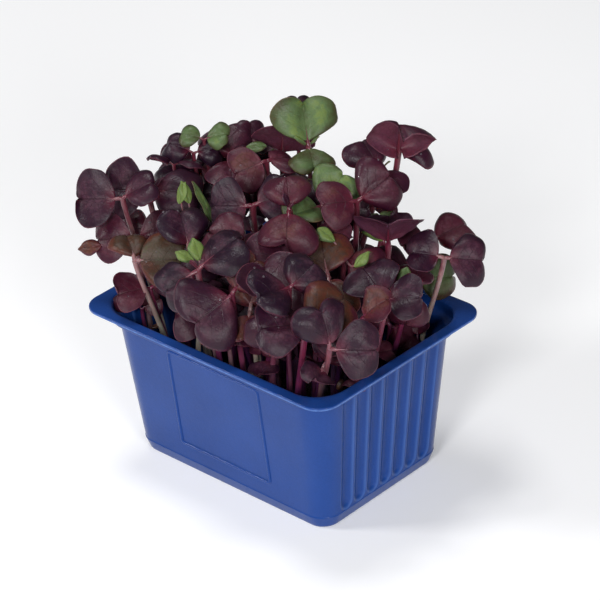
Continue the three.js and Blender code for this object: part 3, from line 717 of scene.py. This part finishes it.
# Seed leaves. Two to a seedling, broad and notched like a heart, satin and almost black-purple over a
# redder underside, with sunken veins, a rosy rim, and here and there a bronze or a green one. Paler mauve
# patches on their faces are a painted sheen, and the rim is partly a painted glow of light through the edge.
LEAF_ROWS = 24
LEAF_BANDS = (0, 0.16, 0.32, 0.48, 0.64, 0.78, 0.89, 0.965, 1)
LEAF_THICKNESS, SHAPED_WIDTH = 0.42, 17
EDGE = ((0, 0.09), (0.01, 0.24), (0.05, 0.46), (0.16, 0.74), (0.34, 0.95), (0.53, 1.02), (0.71, 0.99),
        (0.86, 0.87), (0.97, 0.67), (1.01, 0.44), (0.98, 0.22), (0.92, 0.08), (0.84, 0))
STALK_RED, SHEEN_MAUVE, SHADE = (0.12, 0.014, 0.03, 1), (0.115, 0.042, 0.068, 1), (0.012, 0.003, 0.009, 1)


def smooth_line(points, count):
    """A smooth line through points, evenly spaced along it."""
    points = np.array(points, float)
    ends = np.vstack([2 * points[0] - points[1], points, 2 * points[-1] - points[-2]])
    fine = []
    for a, b, c, d in zip(ends, ends[1:], ends[2:], ends[3:]):
        t = np.linspace(0, 1, 12, endpoint=False)[:, None]
        fine.append(0.5 * (2 * b + (c - a) * t + (2 * a - 5 * b + 4 * c - d) * t**2
                           + (3 * b - a - 3 * c + d) * t**3))
    fine = np.vstack(fine + [points[-1:]])
    run = np.concatenate([[0], np.cumsum(np.hypot(*np.diff(fine, axis=0).T))])
    want = np.linspace(0, run[-1], count)
    return np.column_stack([np.interp(want, run, fine[:, k]) for k in (0, 1)])


bands = np.array([-b for b in LEAF_BANDS[:0:-1]] + list(LEAF_BANDS))


def leaf_grid(edge):
    """Rows of points across a leaf, from its midrib out to an edge line on each side."""
    line = smooth_line(edge, LEAF_ROWS)
    midrib = np.column_stack([np.linspace(0, edge[-1][0], LEAF_ROWS), np.zeros(LEAF_ROWS)])
    mirrored = line[:, None, :] * np.stack([np.ones_like(bands), np.sign(bands)], axis=1)
    return midrib[:, None, :] * (1 - np.abs(bands))[None, :, None] + mirrored * np.abs(bands)[None, :, None]


heart = leaf_grid(EDGE)


def seed_leaf(leaf, mood):
    """Points, faces, and for each point its place on the leaf, its band and its side, of one leaf."""
    grid = leaf.get("grid", heart)
    l, w = grid[..., 0], grid[..., 1]
    band = np.broadcast_to(np.abs(bands), l.shape)
    hand = np.sign(w + 1e-9)
    lobe = np.where(w < 0, *mood.normal(0, 1.7, 2)) * band**2 * np.clip(l + 0.2, 0, 1)
    twist = mood.uniform(-2, 2) * w * (l - 0.3)
    wave = mood.uniform(0.2, 1.1) * band**3 * np.sin(l * mood.uniform(4, 9) * hand + mood.uniform(0, 6))
    crimp = mood.uniform(0.05, 0.22) * band**2 * np.sin(l * 17 + w * 9 + mood.uniform(0, 6))
    puff = 0.5 * np.sin(np.pi * band) * np.sin(np.pi * np.clip(l, 0, 1)) - 0.25 * np.exp(-np.abs(w) / 0.06)
    curl = mood.choice([-3, -2, -1.2, -0.6, 0.5, 1.1]) * band**5
    tip = mood.uniform(-1.8, 0.6) * np.clip(l - 0.5, 0, 1) ** 2 * 4
    shape = lobe + twist + wave + crimp + puff * mood.uniform(0.3, 1.2) + curl + tip
    wedge = 1 - mood.uniform(0, 0.36) * (1 - np.clip(l / 0.45, 0, 1)) ** 1.5
    nick = 1 + 0.035 * band**2 * np.sin(l * mood.uniform(7, 11) + np.sign(w) * mood.uniform(0, 3))
    wide = w * wedge * nick * np.where(w < 0, *mood.uniform(0.97, 1.1, 2))
    long = l * 1.03 + mood.uniform(0, 0.1) * np.exp(-((w / 0.22) ** 2)) * np.clip(l / NOTCH, 0, 1) ** 3
    middle = on_leaf(leaf, long, wide, shape * leaf["width"] / SHAPED_WIDTH)
    half = LEAF_THICKNESS / 2 * np.sqrt(np.clip(1 - band**8, 0, 1))[..., None] * np.array(leaf["face"])
    rows, columns = l.shape
    points = np.concatenate([(middle + half).reshape(-1, 3), (middle - half).reshape(-1, 3)])
    at = np.arange(rows * columns).reshape(rows, columns)
    under = at + rows * columns
    under[:, [0, -1]] = at[:, [0, -1]]
    faces = []
    for i in range(rows - 1):
        for j in range(columns - 1):
            faces.append((at[i, j], at[i + 1, j], at[i + 1, j + 1], at[i, j + 1]))
            faces.append((under[i, j], under[i, j + 1], under[i + 1, j + 1], under[i + 1, j]))
    for j in range(columns - 1):
        faces.append((at[0, j], at[0, j + 1], under[0, j + 1], under[0, j]))
    flat = np.tile(np.column_stack([l.ravel(), w.ravel(), band.ravel()]), (2, 1))
    side = np.repeat([0.0, 1.0], rows * columns)
    return points, faces, flat, side


def leaf_piece(name, leaves):
    """One smooth object of several leaves, with what their skin reads: uv, edge, under and tone."""
    points, faces, flats, sides, tones = [], [], [], [], []
    for leaf, tone, mood in leaves:
        made, quads, flat, side = seed_leaf(leaf, mood)
        start = sum(len(p) for p in points)
        points.append(made)
        faces += [tuple(int(v) + start for v in quad) for quad in quads]
        flats.append(flat)
        sides.append(side)
        tones.append(np.full(len(made), tone))
    piece = add_piece(name, np.vstack(points), faces, material=leaf_skin)
    mesh, flat = piece.data, np.vstack(flats)
    corner = np.empty(len(mesh.loops), int)
    mesh.loops.foreach_get("vertex_index", corner)
    mesh.uv_layers.new(name="leaf").data.foreach_set(
        "uv", np.column_stack([flat[corner, 1] / 2 + 0.5, flat[corner, 0]]).astype(np.float32).ravel())
    mark(mesh, edge=flat[:, 2], under=np.concatenate(sides), tone=np.concatenate(tones))
    closed = bmesh.new()
    closed.from_mesh(mesh)
    bmesh.ops.remove_doubles(closed, verts=closed.verts, dist=0.00001)
    bmesh.ops.recalc_face_normals(closed, faces=closed.faces)
    closed.to_mesh(mesh)
    closed.free()
    mesh.shade_smooth()
    return piece


leaf_skin, place = finish("leaf_skin")
u, v, _ = place.node("ShaderNodeUVMap", {"uv_map": "leaf"}).parts()
edge, under, tone = (place.label(name) for name in ("edge", "under", "tone"))
clouds, cells = place.noise(130.0, 3.0), place.noise(2200.0, 4.0)
speck = place.noise(520.0, 5.0, Roughness=0.7)
gaps = place.node("ShaderNodeTexVoronoi", {"feature": "DISTANCE_TO_EDGE"}, {"Vector": place, "Scale": 620.0})
net = 1 - gaps.within(0.0, 0.16)
off = abs(u - 0.5) * 2
rib = 1 - off.within(0.0, 0.035)
climb = (v - off * 0.35 - off * off * 0.35 + (clouds - 0.5) * 0.16) * 3.4 + 0.25
from_vein = abs(climb.maths("FRACT") - 0.5) * 2
vein = from_vein.within(0.93, 1.0) * (1 - edge.within(0.35, 0.8))
hue = tone + (clouds - 0.5) * 0.36 + (speck - 0.5) * 0.16 - edge.within(0.6, 1.0) * 0.1
top_tint = hue.ramp(
    (0.0, (0.013, 0.003, 0.0115)), (0.2, (0.026, 0.0042, 0.0155)), (0.42, (0.044, 0.0062, 0.018)),
    (0.55, (0.068, 0.0105, 0.0215)), (0.63, (0.095, 0.026, 0.014)), (0.71, (0.05, 0.026, 0.014)),
    (0.84, (0.055, 0.066, 0.024)), (0.94, (0.084, 0.135, 0.05)), (1.0, (0.135, 0.19, 0.045)))
low_tint = hue.ramp(
    (0.0, (0.06, 0.017, 0.036)), (0.3, (0.098, 0.027, 0.05)), (0.55, (0.125, 0.03, 0.044)),
    (0.72, (0.11, 0.04, 0.02)), (0.86, (0.1, 0.12, 0.035)), (1.0, (0.1, 0.2, 0.045)))
vein_tint = hue.ramp(
    (0.0, (0.012, 0.003, 0.01)), (0.55, (0.03, 0.005, 0.009)), (0.75, (0.03, 0.012, 0.01)),
    (1.0, (0.13, 0.2, 0.07)))
rim_and_glow_tint = hue.ramp(
    (0.0, (0.1, 0.025, 0.05)), (0.6, (0.18, 0.04, 0.06)), (0.8, (0.13, 0.07, 0.04)), (1.0, (0.1, 0.2, 0.05)))
# Painted sheen: paler mauve patches placed by noise on the faces, kept off the edges and fading out on bronze
# and green leaves.
painted_sheen = (clouds * 0.6 + speck * 0.4).within(0.46, 0.62) * (1 - edge.within(0.55, 0.95))
painted_sheen = painted_sheen * (1 - tone.within(0.7, 0.85))
by_stalk = (1 - v.within(0.0, 0.42)) * (1 - off.within(0.1, 0.7)) * 0.6 * (1 - tone.within(0.6, 0.8))
skin = top_tint.mixed(low_tint, under).mixed(STALK_RED, by_stalk)
skin = skin.mixed(SHEEN_MAUVE, painted_sheen * (1 - net * 0.6) * 0.34)
skin = skin.mixed(vein_tint, (rib * 0.6).larger(vein * 0.62))
skin = skin.mixed(SHADE, speck.within(0.5, 0.72) * 0.35)
# The rosy rim is partly the leaf's own margin colour and partly a painted glow of light shining through the
# thin edge.
skin = skin.mixed(vein_tint, net * 0.22).mixed(rim_and_glow_tint, edge.within(0.955, 1.0) * 0.65)
relief = (clouds * 1.6 - rib * 0.5 - vein * 0.4 + speck * 0.18 - net * 0.06).bump(0.5, 0.0005)
coat(place, Base_Color=skin, Roughness=0.36 + clouds.within(0.3, 0.7) * 0.14,
     Normal=cells.bump(0.35, 0.00015, Normal=relief), Specular_IOR_Level=0.28, Subsurface_Weight=0.06,
     Subsurface_Scale=0.001)

# A tone runs from 0, almost black, through wine red at 0.5, orange-brown and bronze to 0.9, green, and 1,
# lime. The usual ones stand with their chances, and a leaf is named by its seedling and side.
USUAL_TONES = {0.02: 0.14, 0.12: 0.2, 0.22: 0.22, 0.32: 0.18, 0.44: 0.14, 0.54: 0.08, 0.68: 0.04}
LEADER_TONES = {
    "left_bronze": 0.7, "top_green": 0.92, "front_middle": 0.73, "middle": 0.42, "front_left": 0.25,
    "left_upper": 0.2, "left_tip": 0.22, "left_low": 0.45, "top_right": 0.35, "right_fold": 0.45,
    "right_green": 1.0, "star": 0.5, "front_wine": 0.52, "front_orange": 0.63, "wine_wide": 0.5,
    "upper_satin": 0.1, "middle_left": 0.1, "front_right": 0.15, "right_end": 0.2, "front_corner": 0.4,
    "left_gloss": 0.1,
}
LEAF_TONES = {
    (44, 0): 0.98, (44, 1): 0.9, (35, 1): 0.64, (58, 1): 0.68, (66, 1): 0.6, (63, 1): 0.86, (65, 0): 0.52,
    (19, 0): 0.55, (19, 1): 0.5, (52, 0): 0.7, (69, 0): 0.2, (36, 1): 0.64, (9, 0): 0.5,
}
for number, seedling in enumerate(crop):
    usual = moods.choice(list(USUAL_TONES), p=list(USUAL_TONES.values()))
    tone = LEADER_TONES.get(seedling["name"], usual)
    for side, leaf in enumerate(seedling["leaves"]):
        leaf["tone"] = LEAF_TONES.get((number, side), tone + moods.uniform(-0.05, 0.05))
for clump in clumps:
    leaves = [(leaf, leaf["tone"], moods) for seedling in clump["seedlings"] for leaf in seedling["leaves"]]
    piece = leaf_piece("seed_leaves_" + clump["node"][-2:], leaves)
    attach(piece, "root")
    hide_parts(clump["node"])

# Small leaves. The first true leaves push out between the seed leaves of some seedlings, most of them fresh
# green, and late seedlings with small dark leaves stand low between the others, a few of them at the rim.
OVAL = ((0, 0.1), (0.06, 0.36), (0.2, 0.7), (0.4, 0.95), (0.6, 1), (0.78, 0.84), (0.92, 0.5),
        (1, 0.16), (1.01, 0))
TRUE_LEAVES = (
    ((-31.6, -9.2, 82), (100, 76, -12), (6, 3.6), 1.12), ((-29.6, -7.4, 82), (165, 72, 12), (6.6, 4), 1.08),
    ((-22.5, -5.5, 77), (163, 60, 38), (12, 5.6), 0.93), ((-8, -25.5, 77.6), (150, 55, 10), (6.5, 5), 1.06),
    ((-9.5, -26.5, 77.6), (215, 35, -30), (5.5, 4), 1.0), ((-3, -14.5, 62), (134, 62, 0), (5.5, 4.5), 1.1),
    ((-31, 20, 89), (42, 12, 25), (6, 4.2), 0.95), ((19.5, 4, 80.5), (200, 45, -10), (6, 4.6), 0.98),
    ((29, 2, 76), (60, 55, 10), (5.5, 4), 1.06), ((42.5, 7, 71.5), (100, 55, 10), (6, 4.4), 0.96),
    ((32, 26, 60), (140, 70, 0), (9, 6.5), 0.86), ((-47.5, -28.5, 70.5), (216, -8, -48), (7, 4.8), 0.64),
)
LATE = (
    ((-36.5, -24, 50), (-33, -20), ((205, 42, -40, 9.5), (30, 35, 50, 9)), 0.48),
    ((37.4, 19.7, 46), (33, 17), ((120, 62, 0, 7.5), (250, 10, -30, 7)), 0.4),
    ((37.5, -2.5, 51), (33, -3), ((60, 4, 10, 8.5), (235, 6, -8, 8.5)), 0.5),
    ((36.6, -8.3, 45), (31, -7), ((314, 20, 0, 7), (120, 30, 0, 6.5)), 0.46),
    ((-13, 3, 72), (-15, 6), ((150, 30, 0, 10), (330, 5, 0, 10)), 0.16),
    ((-43, 14, 91), (-32, 17), ((20, 25, 40, 9), (215, 20, -35, 8)), 0.93),
    ((-25, 38, 93.5), (-14, 20), ((134, 62, 0, 8.5), (20, -10, 30, 6)), 0.08),
    ((-45, 11, 87), (-33, 12), ((215, 25, -35, 10), (35, 15, 35, 9)), 0.1),
    ((-49, 6, 84), (-34, 8), ((225, 30, 25, 9), (45, 5, -25, 10)), 0.28),
    ((-34, 26, 86), (-27, 21), ((134, 58, 15, 10), (300, 30, 0, 9)), 0.36),
)
TRUE_LEAF_SHARE, LATE_COUNT = 0.26, 24
SPRIG_SIDES, SPRIG_STEPS, TWIG_STEPS, LATE_STEPS = 8, 8, 10, 18

late_draws = np.random.default_rng(23)
oval = leaf_grid(OVAL)


def loose_leaf(base, turns, length, width, **shape):
    """A leaf that isn't in the CAD model, from its base and its heading, rise and roll."""
    along, across, face = leaf_axes(*(math.radians(turn) for turn in turns))
    return {"base": Vector(base), "along": along, "across": across, "face": face, "length": length,
            "width": width, "fold": 0.25, "cup": 0.3, "droop": 0.15, **shape}


small_leaves, small_paths = [], []
for seedling in crop:
    if late_draws.uniform() > TRUE_LEAF_SHARE:
        continue
    heading, tone = late_draws.uniform(0, 360), late_draws.choice([0.3, 0.5, 0.9, 0.97])
    for half_turn, size in ((0, late_draws.uniform(3, 5.4)), (180, late_draws.uniform(2.4, 4))):
        turns = (heading + half_turn, late_draws.uniform(45, 78), late_draws.uniform(-20, 20))
        leaf = loose_leaf(seedling["top"], turns, size, size * 0.62, grid=oval)
        leaf["base"] = seedling["top"] + leaf["along"] * 1.2
        small_leaves.append((leaf, tone, late_draws))
for base, turns, (length, width), tone in TRUE_LEAVES:
    leaf = loose_leaf(base, turns, length, width, grid=oval)
    small_leaves.append((leaf, tone, late_draws))
    head = min((seedling["top"] for seedling in crop), key=lambda top: (top - leaf["base"]).length)
    way = bezier((head, lerp(head, leaf["base"], 0.4), leaf["base"] - leaf["along"] * 2,
                  leaf["base"] + leaf["along"] * length * 0.4 - leaf["face"] * 0.15), TWIG_STEPS)
    small_paths.append((way, np.linspace(0.42, 0.2, TWIG_STEPS), np.full(TWIG_STEPS, 60.0),
                        0.5 if tone > 0.8 else 0.0))
late = list(LATE)
while len(late) < LATE_COUNT:
    foot = (late_draws.uniform(-34, 34), late_draws.uniform(-22, 22))
    top = (foot[0] * 1.12, foot[1] * 1.12, late_draws.uniform(44, 64))
    heading = late_draws.uniform(0, 360)
    leaves = tuple((heading + half_turn, late_draws.uniform(-5, 40), late_draws.uniform(-25, 25),
                    late_draws.uniform(7, 10)) for half_turn in (0, 180))
    late.append((top, foot, leaves, late_draws.choice([0.05, 0.15, 0.3, 0.45])))
for top, foot, leaves, tone in late:
    top, low = Vector(top), Vector((*foot, MAT_TOP - 1.5))
    stem = bezier((low, lerp(low, top, 0.4) + Vector((0, 0, 3)), top - Vector((0, 0, 9)), top), LATE_STEPS)
    small_paths.append((stem, np.linspace(0.85, 0.6, LATE_STEPS), stem[:, 2], late_draws.uniform(0, 0.4)))
    for heading, rise, roll, width in leaves:
        leaf = loose_leaf(top, (heading, rise, roll), width * 0.72, width, fold=0.3)
        leaf["base"] = top + leaf["along"] * 1.4
        small_leaves.append((leaf, tone, late_draws))
        way = bezier((top - Vector((0, 0, 1)), top, leaf["base"] - leaf["along"] * 0.5,
                      leaf["base"] + leaf["along"] * width * 0.2 - leaf["face"] * 0.2), SPRIG_STEPS)
        small_paths.append((way, np.linspace(0.6, 0.2, SPRIG_STEPS), np.full(SPRIG_STEPS, top.z), 0.0))
sprigs = run_tree("small_stems", stem_tree, lines("small_stems", small_paths), Sides=SPRIG_SIDES,
                  Material=stem_skin)
sprigs.data.shade_smooth()
small = leaf_piece("small_leaves", small_leaves)
for piece in (sprigs, small):
    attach(piece, "root")

# Crumbs and fibres. Loose bits of the mat's dark fibre, and the ends of fine roots that have grown out
# of it, lie on top of it among the stems.
CRUMB, FIBRE_LENGTH, FIBRE_RADIUS, FIBRE_SIDES = 0.55, 3.4, 0.1, 4
CRUMBS_TO_METRE, FIBRES_TO_METRE = 200000.0, 110000.0
BED_INSET, BED_LIFT, FULL_TURN = 1.5, 0.1, 6.3


def chance(seed, low, high):
    """A random number or vector between two of them, for each point."""
    if isinstance(low, tuple):
        return seed.node("FunctionNodeRandomValue", {"data_type": "FLOAT_VECTOR"},
                         {0: low, 1: high, "Seed": seed})
    return seed.node("FunctionNodeRandomValue", {"data_type": "FLOAT"}, {2: low, 3: high, "Seed": seed}, 1)


def scattered(surface, density, seed, **more):
    """Points on a surface, so many to the square metre."""
    return surface.node("GeometryNodeDistributePointsOnFaces", None,
                        {"Mesh": surface, "Density": density, "Seed": seed, **more})


def set_on(points, piece, turn, size):
    """A copy of a piece on each point."""
    return points.node("GeometryNodeInstanceOnPoints", None,
                       {"Points": points, "Instance": piece, "Rotation": turn, "Scale": size})


bed = plate("bed", *(value - MAT_INSET - BED_INSET for value in wall_at(MAT_TOP)[:2]), MAT_TOP + BED_LIFT)
litter_tree, put = blank_tree("litter_on_mat", Crumbs=1.0, Fibres=1.0, Size=1.0, Length=1.0,
                              Radius=1.0, Seed=1, Material=soil)
ground, seed, length = put["Geometry"], put["Seed"], put["Length"]
bit = ground.node("GeometryNodeMeshIcoSphere", None, {"Radius": put["Size"], "Subdivisions": 1})
crumbs = set_on(scattered(ground, put["Crumbs"], seed), bit, chance(seed, (0, 0, 0), (FULL_TURN,) * 3),
                chance(seed, (0.5, 0.3, 0.3), (1.6, 1.0, 0.9)))
start, middle, end = (length.node("ShaderNodeCombineXYZ", None, place) for place in (
    {"X": length * -0.5}, {"Y": length * 0.3, "Z": length * 0.35}, {"X": length * 0.5}))
hair = ground.node("GeometryNodeCurveQuadraticBezier", None,
                   {"Resolution": 4, "Start": start, "Middle": middle, "End": end})
fibres = set_on(scattered(ground, put["Fibres"], seed + 5), tube(hair, put["Radius"], FIBRE_SIDES),
                chance(seed + 9, (-0.5, -0.5, 0), (0.5, 0.5, FULL_TURN)), chance(seed, 0.5, 1.5))
both = ground.node("GeometryNodeJoinGeometry")
for part in (crumbs, fibres):
    ground.tree.links.new(part.socket, both.socket.node.inputs[0])
close_tree(both, put["Material"])
litter = run_tree("crumbs_and_fibres", litter_tree, bed, Crumbs=CRUMBS_TO_METRE, Fibres=FIBRES_TO_METRE,
                  Size=CRUMB * MM, Length=FIBRE_LENGTH * MM, Radius=FIBRE_RADIUS * MM, Seed=4, Material=soil)
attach(litter, "root")

# Seed hulls. Split brown seed coats, thin bowls that the seedlings have dropped on the mat or carried up
# between their stems.
HULL_SIZE, HULL_TRIES, HIGHEST_HULL, BOWL_DEPTH = 1.5, 60, 55, -1.55
HULLS = ((-36, -22.5, 49.8), (-38.5, -20.5, 48.6), (2.5, -21.5, 40), (5.5, -24.5, 37), (36.8, -4.5, 46),
         (33.5, -11.5, 43.5), (-21, -24.5, 44))

hull_draws = np.random.default_rng(31)
places = [Vector(place) for place in HULLS]
for pick in hull_draws.choice(len(paths), HULL_TRIES):
    way, thickness, *_ = paths[pick]
    at = hull_draws.integers(2, len(way) - 2)
    if way[at][2] < HIGHEST_HULL:
        aside = hull_draws.uniform(0, 2 * math.pi)
        places.append(Vector(way[at]) + Vector((math.cos(aside), math.sin(aside), 0)) * (thickness[at] + 0.5))

husk, place = finish("seed_hull")
mottle = place.noise(700.0, 4.0)
tint = mottle.ramp((0.3, (0.02, 0.008, 0.006)), (0.55, (0.06, 0.025, 0.015)), (0.75, (0.14, 0.075, 0.045)))
coat(place, Base_Color=tint, Roughness=0.4, Normal=mottle.bump(0.5, 0.0003))

hull_tree, put = blank_tree("hulls_on_spots", Size=1.0, Seed=1, Material=husk)
ball = put["Size"].node("GeometryNodeMeshUVSphere", None,
                        {"Segments": 10, "Rings": 8, "Radius": put["Size"]})
up = ball.node("GeometryNodeInputPosition").parts()[2]
sunk = up.node("ShaderNodeCombineXYZ", None, {"Z": up.larger(0.0) * BOWL_DEPTH})
bowl = ball.node("GeometryNodeSetPosition", None, {"Geometry": ball, "Offset": sunk})
hulls = set_on(put["Geometry"], bowl, chance(put["Seed"], (-1.6, -1.6, 0), (1.6, 1.6, FULL_TURN)),
               chance(put["Seed"], (0.75, 0.6, 0.6), (1.25, 0.9, 1.0)))
close_tree(hulls, put["Material"])
hulls = run_tree("seed_hulls", hull_tree, add_piece("hulls", places), Size=HULL_SIZE * MM, Seed=2,
                 Material=husk)
hulls.data.shade_smooth()
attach(hulls, "root")

# Water drops. Clear water from the last watering, that stands in small flat beads on the upper sides of
# the leaves.
DROP_RADIUS, DROPS_TO_METRE, LEVEL_ENOUGH = 0.5, 4600.0, 0.45

tops = bmesh.new()
for piece in collection.objects:
    if piece.name.startswith("seed_leaves"):
        tops.from_mesh(piece.data)
leaf_mesh = bpy.data.meshes.new("leaf_tops")
tops.to_mesh(leaf_mesh)
tops.free()

water, place = finish("water")
# The pale grey in their colour is a painted glint; clear water has none of its own.
coat(place, Base_Color=(0.25, 0.22, 0.25, 1), Roughness=0.04, Specular_IOR_Level=0.7, Alpha=0.32)

drop_tree, put = blank_tree("drops_on_leaves", Radius=1.0, Density=1.0, Seed=1, Material=water)
leaves = put["Geometry"]
up = leaves.node("GeometryNodeInputNormal").parts()[2]
beads = scattered(leaves, put["Density"], put["Seed"], Selection=up.maths("GREATER_THAN", LEVEL_ENOUGH))
bead = leaves.node("GeometryNodeMeshIcoSphere", None, {"Radius": put["Radius"], "Subdivisions": 2})
flat = bead.node("GeometryNodeTransform", None, {"Geometry": bead, "Scale": (1.0, 0.9, 0.6)})
lie = Wire(leaves.tree, beads.socket.node.outputs["Rotation"])
drops = set_on(beads, flat, lie, chance(put["Seed"], 0.35, 1.0))
close_tree(drops, put["Material"])
drops = run_tree("water_drops", drop_tree, in_scene("leaf_tops", leaf_mesh), Radius=DROP_RADIUS * MM,
                 Density=DROPS_TO_METRE, Seed=6, Material=water)
drops.data.shade_smooth()
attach(drops, "root")
